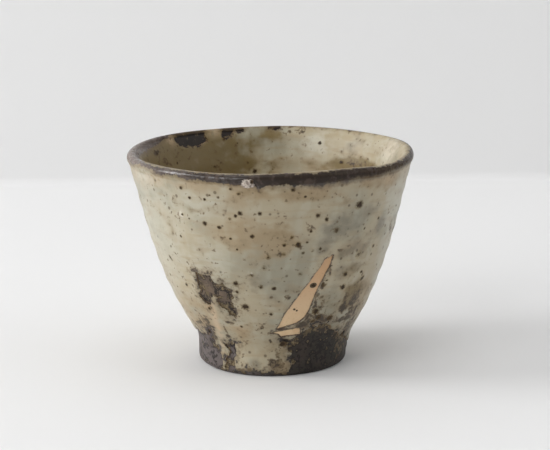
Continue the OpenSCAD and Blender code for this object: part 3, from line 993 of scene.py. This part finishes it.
def thrown(points):
    """The points pushed as the hand left them: fingers, dents, a worn foot, a lean and a wavy lip."""
    x, y, z = points.T
    turn, high = np.arctan2(x, -y), z / cup_h
    on_wall = ease((z - 12 * mm) / (6 * mm)) * ease((cup_h - 5 * mm - z) / (8 * mm))
    fingers = finger_deep * np.sin(2 * math.pi * z / finger_apart + turn) * on_wall
    dents = dent_deep * (np.sin(2 * turn + 0.6 + z / (21 * mm)) + np.sin(3 * turn - 1.1 - z / (16 * mm)))
    worn = wear_deep * np.clip(1 - z / wear_h, 0, 1) ** 2 * np.exp(-((turn - wear_turn) / wear_wide) ** 2)
    radius = np.maximum(np.hypot(x, y), least_r)
    grow = 1 + (fingers + dents * ease(z / (14 * mm)) - worn) * ease(radius / (20 * mm)) / radius
    wander = lean * np.exp(-((z - lean_at) / lean_reach) ** 2) - foot_back * (1 - ease(z / foot_reach))
    lip_rise = high**6 * (0.22 * mm * np.sin(2 * turn + 0.8) + 0.12 * mm * np.sin(5 * turn - 0.4))
    for middle, wide, dip in lip_dips:
        lip_rise -= high**6 * dip * np.exp(-(((turn - middle) / wide) ** 4))
    return np.column_stack([x * grow + wander, y * grow, z + lip_rise])


for piece in pieces:
    piece.data.vertices.foreach_set("co", thrown(points_of(piece)).ravel())
    piece.data.update()
    bpy.ops.object.select_all(action="DESELECT")
    piece.select_set(True)
    bpy.context.view_layer.objects.active = piece
    bpy.ops.object.shade_smooth_by_angle(angle=math.radians(38))
front_of_lip = thrown(np.array([[0, -mouth_r, cup_h]]))[0]
print("the front of the lip is thrown to", np.round(front_of_lip / mm, 2), "mm")

# %% [markdown]
# ## Scorched clay and its edge
# The clay is rich in iron. Where no glaze covered it, the fire turned it black-brown, with soot in blotches
# and a wash of slip clinging to it. Towards the left, the side the window lights, it is painted lighter
# and mauve: a painted sheen of that light over a thin film of glaze. A coat that crawled away ends in a
# mottle of clay and glaze, with no clean line, so the clay and the glaze ask one shared group how bare a
# point is and what its clay is.

# %% Scorched clay group
def new_group(name, outputs):
    tree = bpy.data.node_groups.new(name, "ShaderNodeTree")
    for output, kind in outputs.items():
        tree.interface.new_socket(output, in_out="OUTPUT", socket_type="NodeSocket" + kind)
    return tree, tree.nodes.new("NodeGroupOutput")


def fine_noises(tree):
    """Mottle, grit and pepper, the three small sizes of noise that clay and glaze share."""
    return noise(tree, 2.6 * mm, 4), noise(tree, 1.3 * mm, 4), noise(tree, 0.8 * mm, 3)


scorch_group, out = new_group("scorched_clay", {"Color": "Color", "Bare": "Float", "Fringe": "Float"})
tree = scorch_group
bloom = noise(tree, 6 * mm, 2)
mottle, grit, pepper = fine_noises(tree)
where = axes(tree)
# Partly painted light: the clay turns lighter and mauve towards the left, the side the window lights, as a
# painted sheen over a thin film of glaze.
left = band(tree, where["X"], 0.010, -0.016)
low = band(tree, where["Z"], 0.020, 0.012)
lit_left_tone = blend(tree, low, srgb(106, 91, 76), srgb(100, 91, 89))
colour = blend(tree, left, srgb(55, 50, 44), lit_left_tone)
colour = tinted(tree, colour, srgb(70, 58, 52), band(tree, bloom, 0.45, 0.65), 0.5)
dark = shaken(tree, painted(tree, "soot"), (mottle, 4.0), (grit, 5.0))
colour = tinted(tree, colour, srgb(34, 29, 28), band(tree, dark, 0.10, 0.60), 0.9)
edge = shaken(tree, painted(tree, "bare_mm"), (bloom, 4.0), (mottle, 10.0), (grit, 4.0), (pepper, 1.2))
colour = tinted(tree, colour, srgb(38, 31, 27), band(tree, edge, -1.8, -0.4), 0.65)
pale = shaken(tree, painted(tree, "wash"), (mottle, 1.5), (grit, 3.0))
colour = tinted(tree, colour, srgb(120, 104, 78), band(tree, pale, 0.45, 0.80), 0.7)
feed(tree, out.inputs["Color"], colour)
feed(tree, out.inputs["Bare"], band(tree, edge, 0.5, -0.5))
feed(tree, out.inputs["Fringe"], band(tree, edge, 2.6, 0.3))
print("scorched clay:", len(tree.nodes), "nodes")

# %% [markdown]
# ## The ash glaze
# Ash glaze is a satin, grey-green to cream glass, cloudy where it is thick and brown where it is thin.
# Five pieces wear it, and on the real cup it is one skin, so it is one node group that they share. It
# reads the painted attributes, adds noise at several sizes, and hands out a colour, a roughness, a height
# for the bump and, for the lip, a gloss.

# %% Ash glaze group
glaze_group, out = new_group("ash_glaze", {
    "Color": "Color", "Roughness": "Float", "Height": "Float", "Gloss": "Float",
})
tree = glaze_group
drift = noise(tree, 24 * mm, 2)
smear = noise(tree, 8 * mm, 2, (1, 1, 1.6))
streak = noise(tree, 9 * mm, 3, (1, 1, 5))
drip = noise(tree, 5 * mm, 2, (1, 1, 0.2))
mottle, grit, pepper = fine_noises(tree)
over_lip = painted(tree, "over_lip")
cloud = {name: painted(tree, name) for name in outside_clouds}
print("the glaze reads", len(cloud), "kinds of cloud")

# %% Body of the glaze
cream, celadon, milk_and_light = srgb(174, 162, 136), srgb(152, 146, 126), srgb(188, 184, 166)
tan, slate, olive_and_shade = srgb(158, 137, 104), srgb(120, 116, 101), srgb(114, 96, 56)
colour = blend(tree, band(tree, drift, 0.40, 0.62), cream, celadon)
patchy = {}
for name in ("milk_and_light", "tan", "grey", "olive_and_shade"):
    patchy[name] = band(tree, shaken(tree, cloud[name], (smear, 1.4), (mottle, 0.8)), 0.15, 0.85)
# Milky clouds: milky glaze, and a painted sheen, reflection or light where the clouds stand for it.
colour = tinted(tree, colour, milk_and_light, patchy["milk_and_light"], 0.75)
colour = tinted(tree, colour, milk_and_light, band(tree, drip, 0.48, 0.66), 0.3)
colour = tinted(tree, colour, tan, band(tree, smear, 0.46, 0.70), 0.4)
colour = tinted(tree, colour, tan, band(tree, streak, 0.50, 0.72), 0.35)
# The olive clouds inside are partly painted shade.
for name, tint, share in (("tan", tan, 0.75), ("grey", slate, 0.75), ("olive_and_shade", olive_and_shade, 0.85)):
    colour = tinted(tree, colour, tint, patchy[name], share)
print("with the body of the glaze:", len(tree.nodes), "nodes")

# %% Thin places
umber, iron_brown, peach = srgb(104, 85, 58), srgb(58, 46, 32), srgb(202, 176, 144)
under_lip = product(tree, band(tree, over_lip, -11, -5), band(tree, over_lip, -1, -4))
colour = tinted(tree, colour, tan, under_lip, band(tree, smear, 0.30, 0.58), 0.6)
colour = tinted(tree, colour, peach, cloud["peach"], band(tree, mottle, 0.32, 0.50))
colour = tinted(tree, colour, umber, band(tree, grit, 0.56, 0.72), band(tree, smear, 0.42, 0.62), 0.4)
# The brown clouds are thin glaze. The wide one inside on the left is partly painted shade.
thin = shaken(tree, product(tree, cloud["brown"], 0.9), (mottle, 1.8), (grit, 1.2), (pepper, 0.6))
colour = tinted(tree, colour, umber, band(tree, thin, 0.36, 0.62), 0.8)
colour = tinted(tree, colour, iron_brown, band(tree, thin, 0.62, 0.90), 0.9)
# White clouds: painted highlights and glints, and painted light inside.
colour = tinted(tree, colour, srgb(232, 228, 214), cloud["white"], band(tree, mottle, 0.35, 0.55))
print("with the thin places:", len(tree.nodes), "nodes")

# %% Specks of iron
def specks(tree, grain, reach):
    """Small dark dots, one at most in each cell, most of them too small to show."""
    cells = add(tree, "TexVoronoi", Vector=place_on_piece(tree), Scale=1 / grain)
    luck = add(tree, "SeparateColor", Color=cells.outputs["Color"]).outputs[0]
    size = maths(tree, "MULTIPLY", maths(tree, "POWER", luck, 2.5), reach)
    return band(tree, maths(tree, "SUBTRACT", size, cells.outputs["Distance"]), -0.06, 0.10)


outside_only = band(tree, over_lip, 3, -3)
colour = tinted(tree, colour, srgb(88, 72, 48), specks(tree, 2.4 * mm, 0.26), outside_only, 0.75)
colour = tinted(tree, colour, iron_brown, specks(tree, 5.0 * mm, 0.13), outside_only, 0.85)
print("with the specks:", len(tree.nodes), "nodes")

# %% Dark edges
clay = grouped(tree, scorch_group)
colour = tinted(tree, colour, umber, clay["Fringe"], 0.55)
colour = blend(tree, clay["Bare"], colour, clay["Color"])
# A dark line round the gap: partly iron where the glaze pooled at its edge, partly painted shade along the
# step of the glaze.
gap_edge = shaken(tree, painted(tree, "gap_mm"), (pepper, 1.2), (grit, 2.0))
colour = tinted(tree, colour, srgb(70, 52, 40), band(tree, gap_edge, 0.5, 0.1), 0.85)
print("with the dark edges:", len(tree.nodes), "nodes")

# %% Iron-stained lip
lip_edge = shaken(tree, painted(tree, "lip_mm"), (smear, 1.2), (mottle, 2.6), (pepper, 1.6))
where = axes(tree)
side = where["X"]
right = band(tree, side, 0.024, 0.042)
softer = product(tree, band(tree, side, 0.004, 0.030), band(tree, over_lip, -1.2, -2.2))
crisp, soft = band(tree, lip_edge, -0.1, 0.5), band(tree, lip_edge, -1.2, 1.8)
lip = maths(tree, "MULTIPLY_ADD", maths(tree, "SUBTRACT", soft, crisp), softer, crisp)
lip_dark = blend(tree, band(tree, mottle, 0.46, 0.68), srgb(54, 46, 41), srgb(78, 66, 59))
# Painted sheen: towards the left end, where the window light falls, the lip is painted a lighter mauve,
# lightest at the very end.
lip_sheen_mauve = blend(tree, band(tree, mottle, 0.40, 0.62), srgb(66, 54, 48), srgb(92, 79, 71))
lip_colour = blend(tree, band(tree, side, -0.016, -0.040), lip_dark, lip_sheen_mauve)
lip_colour = blend(tree, band(tree, side, -0.035, -0.047), lip_colour, srgb(116, 103, 95))
lip_colour = blend(tree, right, lip_colour, srgb(58, 43, 29))
colour = tinted(tree, colour, umber, band(tree, lip_edge, -1.5, -0.1), 0.5)
colour = blend(tree, lip, colour, lip_colour)
feed(tree, out.inputs["Color"], colour)
print("with the lip:", len(tree.nodes), "nodes")

# %% Gloss and relief of the glaze
rough = maths(tree, "MULTIPLY_ADD", mottle, 0.24, 0.28)
rough = maths(tree, "MULTIPLY_ADD", clay["Bare"], 0.25, rough)
feed(tree, out.inputs["Roughness"], maths(tree, "MULTIPLY_ADD", lip, -0.14, rough))
lit = product(tree, band(tree, side, 0.005, -0.015), band(tree, where["Y"], -0.010, -0.020))
feed(tree, out.inputs["Gloss"], product(tree, lip, lit, band(tree, pepper, 0.38, 0.54)))
feed(tree, out.inputs["Height"], maths(tree, "MULTIPLY_ADD", pepper, 0.25, mottle))
print("ash glaze:", len(tree.nodes), "nodes")

# %% [markdown]
# ## Pieces that wear the glaze
# The glaze outside, the glaze inside, the lip and the iron spots each have a material of their own round
# the shared group. The numbers that are the same all over, such as the strength of the bump, are written
# on the shader itself. The lip has a clear coat over it where its melted iron shines. The spots mix iron
# into the glaze's colour towards their middles, so that a spot has no hard rim.

# %% Glaze materials
def bumped(tree, shader, height, relief, bump_h):
    """Lets a height stand out on a shader, with a strength and a height in metres."""
    bump = add(tree, "Bump", Strength=relief, Distance=bump_h, Height=height)
    feed(tree, shader.inputs["Normal"], bump.outputs["Normal"])


def dressed(name, group, relief, bump_h, shine=0.5):
    """A material whose colour, roughness and bump come from a group, with the sockets of the group."""
    made, tree, shader = new_material(name)
    finish = grouped(tree, group)
    feed(tree, shader.inputs["Base Color"], finish["Color"])
    feed(tree, shader.inputs["Roughness"], finish["Roughness"])
    bumped(tree, shader, finish["Height"], relief, bump_h)
    shader.inputs["Specular IOR Level"].default_value = shine
    return made, tree, shader, finish


glaze_relief, glaze_bump_h = 0.35, 0.25 * mm
outer_glaze_finish = dressed("outer_ash_glaze", glaze_group, glaze_relief, glaze_bump_h)[0]
inner_glaze_finish = dressed("inner_ash_glaze", glaze_group, glaze_relief, glaze_bump_h, shine=0.25)[0]
lip_finish, tree, shader, finish = dressed("lip_iron_glaze", glaze_group, 0.5, glaze_bump_h, shine=0.1)
feed(tree, shader.inputs["Coat Weight"], finish["Gloss"])
shader.inputs["Coat Roughness"].default_value = 0.2
print("made", outer_glaze_finish.name, inner_glaze_finish.name, lip_finish.name)

# %% Bled iron
iron_finish, tree, shader, finish = dressed("bled_iron", glaze_group, glaze_relief, glaze_bump_h, shine=0.15)
melt = noise(tree, 0.7 * mm)
spot = maths(tree, "MULTIPLY_ADD", melt, 0.8, painted(tree, "core"))
stained = tinted(tree, finish["Color"], srgb(96, 77, 50), band(tree, spot, 0.45, 0.85), 0.65)
iron_colour = blend(tree, melt, srgb(66, 50, 32), srgb(38, 29, 21))
feed(tree, shader.inputs["Base Color"], blend(tree, band(tree, spot, 0.65, 1.10), stained, iron_colour))
print("made", iron_finish.name)

# %% [markdown]
# ## Bare clay
# The bowl and the foot ring wear the scorched clay itself. Close to the edge of a coat, a film of glaze
# still clings to it where the mottle says so, and the clay is rougher and sandier than any glaze. The
# whole glaze group could be mixed in for that film, but two plain colours are enough at its size.

# %% Bare clay group
clay_group, out = new_group("bare_clay", {"Color": "Color", "Roughness": "Float", "Height": "Float"})
tree = clay_group
mottle = noise(tree, 1.9 * mm, 4)
sand = noise(tree, 0.6 * mm, 3)
clay = grouped(tree, scorch_group)
film = blend(tree, band(tree, sand, 0.40, 0.60), srgb(80, 66, 48), srgb(126, 111, 84))
colour = blend(tree, clay["Bare"], film, clay["Color"])
colour = tinted(tree, colour, srgb(112, 98, 86), band(tree, sand, 0.60, 0.72), 0.25)
feed(tree, out.inputs["Color"], colour)
feed(tree, out.inputs["Roughness"], maths(tree, "MULTIPLY_ADD", mottle, 0.3, 0.42))
feed(tree, out.inputs["Height"], maths(tree, "MULTIPLY_ADD", sand, 0.5, mottle))
print("bare clay:", len(tree.nodes), "nodes")

# %% Clay materials
clay_relief, clay_bump_h, clay_shine = 0.5, 0.3 * mm, 0.3
bowl_finish, ring_finish = (
    dressed(name, clay_group, clay_relief, clay_bump_h, clay_shine)[0] for name in ("bowl_clay", "foot_clay")
)
print("made", bowl_finish.name, ring_finish.name)

# %% [markdown]
# ## Peach slip and feldspar
# The slip is a thin coat of white clay that takes a peach blush from the iron under it. It shows only in
# the gap, paler towards its foot, with a few flecks of ash. The grain is chalky white, with grey in its
# hollows. A picture could be wrapped round them, but noise needs no unwrapping and has no seam.

# %% Slip materials
def slipped(name):
    made, tree, shader = new_material(name)
    blush = noise(tree, 5 * mm, 3, (1, 1, 0.4))
    dust = noise(tree, 0.6 * mm, 3)
    height = axes(tree)["Z"]
    colour = blend(tree, band(tree, height, 0.016, 0.040), srgb(222, 194, 155), srgb(200, 161, 122))
    colour = tinted(tree, colour, srgb(206, 166, 122), band(tree, blush, 0.45, 0.7), 0.5)
    colour = tinted(tree, colour, srgb(146, 124, 86), band(tree, dust, 0.62, 0.75), 0.5)
    # A dark line at the edge of the gap: partly iron, partly painted shade at the foot of the glaze's step.
    line = shaken(tree, painted(tree, "gap_mm"), (dust, 0.9))
    colour = tinted(tree, colour, srgb(92, 70, 60), band(tree, line, -0.15, 0.15), 0.6)
    feed(tree, shader.inputs["Base Color"], colour)
    feed(tree, shader.inputs["Roughness"], maths(tree, "MULTIPLY_ADD", blush, 0.2, 0.45))
    bumped(tree, shader, dust, 0.3, 0.15 * mm)
    print("made", name)
    return made


outer_slip_finish, inner_slip_finish = slipped("outer_peach_slip"), slipped("inner_peach_slip")

# %% Feldspar material
feldspar, tree, shader = new_material("burst_feldspar")
chalk = noise(tree, 0.8 * mm, 3)
chalky = blend(tree, band(tree, chalk, 0.38, 0.6), srgb(132, 118, 108), srgb(206, 194, 182))
feed(tree, shader.inputs["Base Color"], chalky)
feed(tree, shader.inputs["Roughness"], maths(tree, "MULTIPLY_ADD", chalk, 0.3, 0.4))
bumped(tree, shader, chalk, 0.5, 0.3 * mm)
print("made", feldspar.name)

# %% [markdown]
# ## Handing the pieces over
# Each piece takes the place of its node in the imported cup and rides on the cup's one body. The table
# also lists the slot of the record that each finish belongs to, but the loop doesn't use it.

# %% Dress the cup
dress = [
    (bowl, "thrown_bowl", "clay", bowl_finish),
    (ring, "foot_ring", "clay", ring_finish),
    (outer_slip, "outer_slip", "slip", outer_slip_finish),
    (inner_slip, "inner_slip", "slip", inner_slip_finish),
    (outer_glaze, "outer_glaze", "glaze", outer_glaze_finish),
    (inner_glaze, "inner_glaze", "glaze", inner_glaze_finish),
    (lip_band, "lip_band", "lip_glaze", lip_finish),
    (spots_outside, "iron_spots_outside", "iron", iron_finish),
    (spots_inside, "iron_spots_inside", "iron", iron_finish),
    (grain, "feldspar_grain", "feldspar", feldspar),
]
for piece, node, slot, finish in dress:
    piece.data.materials.clear()
    piece.data.materials.append(finish)
    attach(piece, "root")
    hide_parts(node)
print(len(dress), "pieces dressed")
